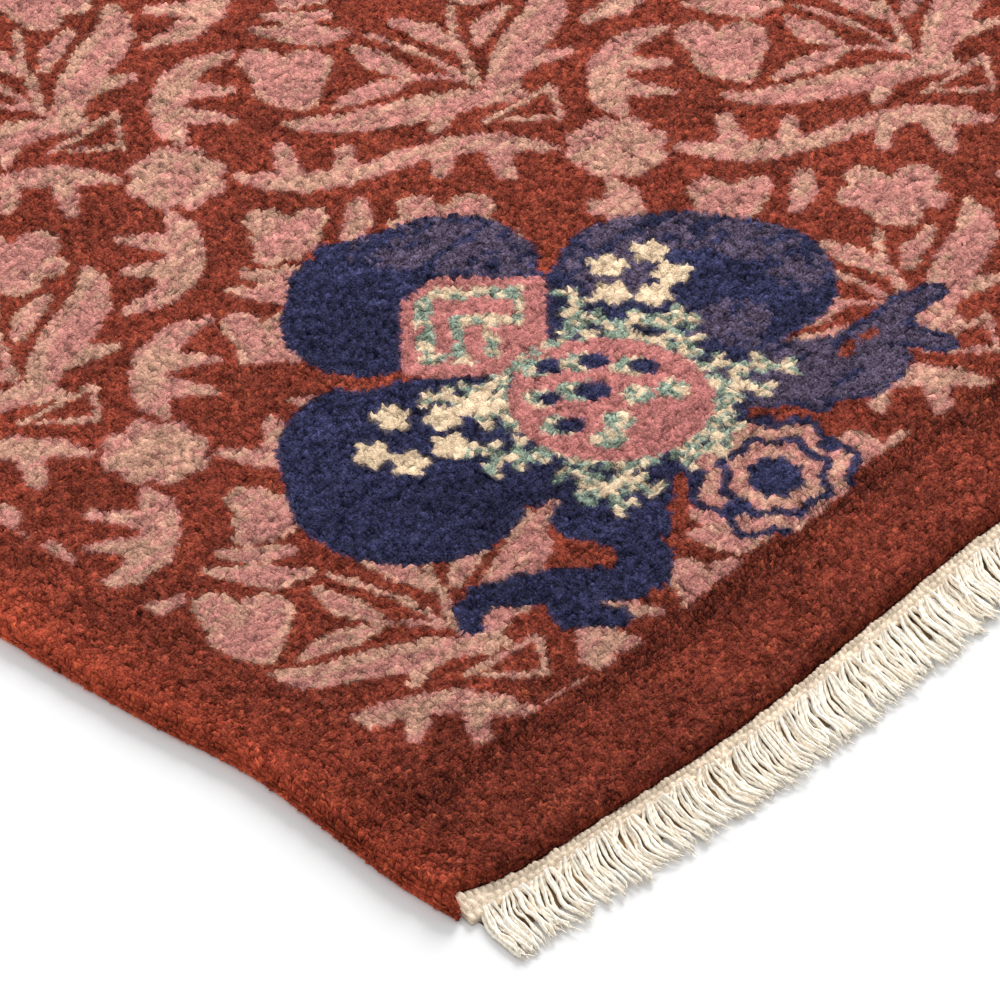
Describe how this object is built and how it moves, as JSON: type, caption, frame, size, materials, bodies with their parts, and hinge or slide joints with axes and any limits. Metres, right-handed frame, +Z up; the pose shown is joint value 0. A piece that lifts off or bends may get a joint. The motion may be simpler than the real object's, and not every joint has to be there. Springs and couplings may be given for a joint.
{
  "type": "hand-knotted wool rug with cotton fringe",
  "caption": "Flat rectangular hand-knotted rug: shorn rust wool pile with a floral all-over and one large navy blossom, flat-woven cotton ends and short bundled fringe.",
  "frame": {"origin": "on the floor, at the middle of the rug's underside", "axes": "+X along the fringed ends, +Y along the length from the near end to the far end, +Z up out of the pile"},
  "size_m": [0.9024, 1.5128, 0.0106],
  "materials": {
    "wool_pile": "shorn wool pile, matt, rust red with pink and beige flowers and a navy blossom",
    "cotton_warp": "undyed plied cotton, matt ivory, flat-woven and left as loose fringe"
  },
  "bodies": {
    "root": {"pile_body": "wool_pile", "fringed_end_near": "cotton_warp", "fringed_end_far": "cotton_warp"}
  },
  "joints": []
}
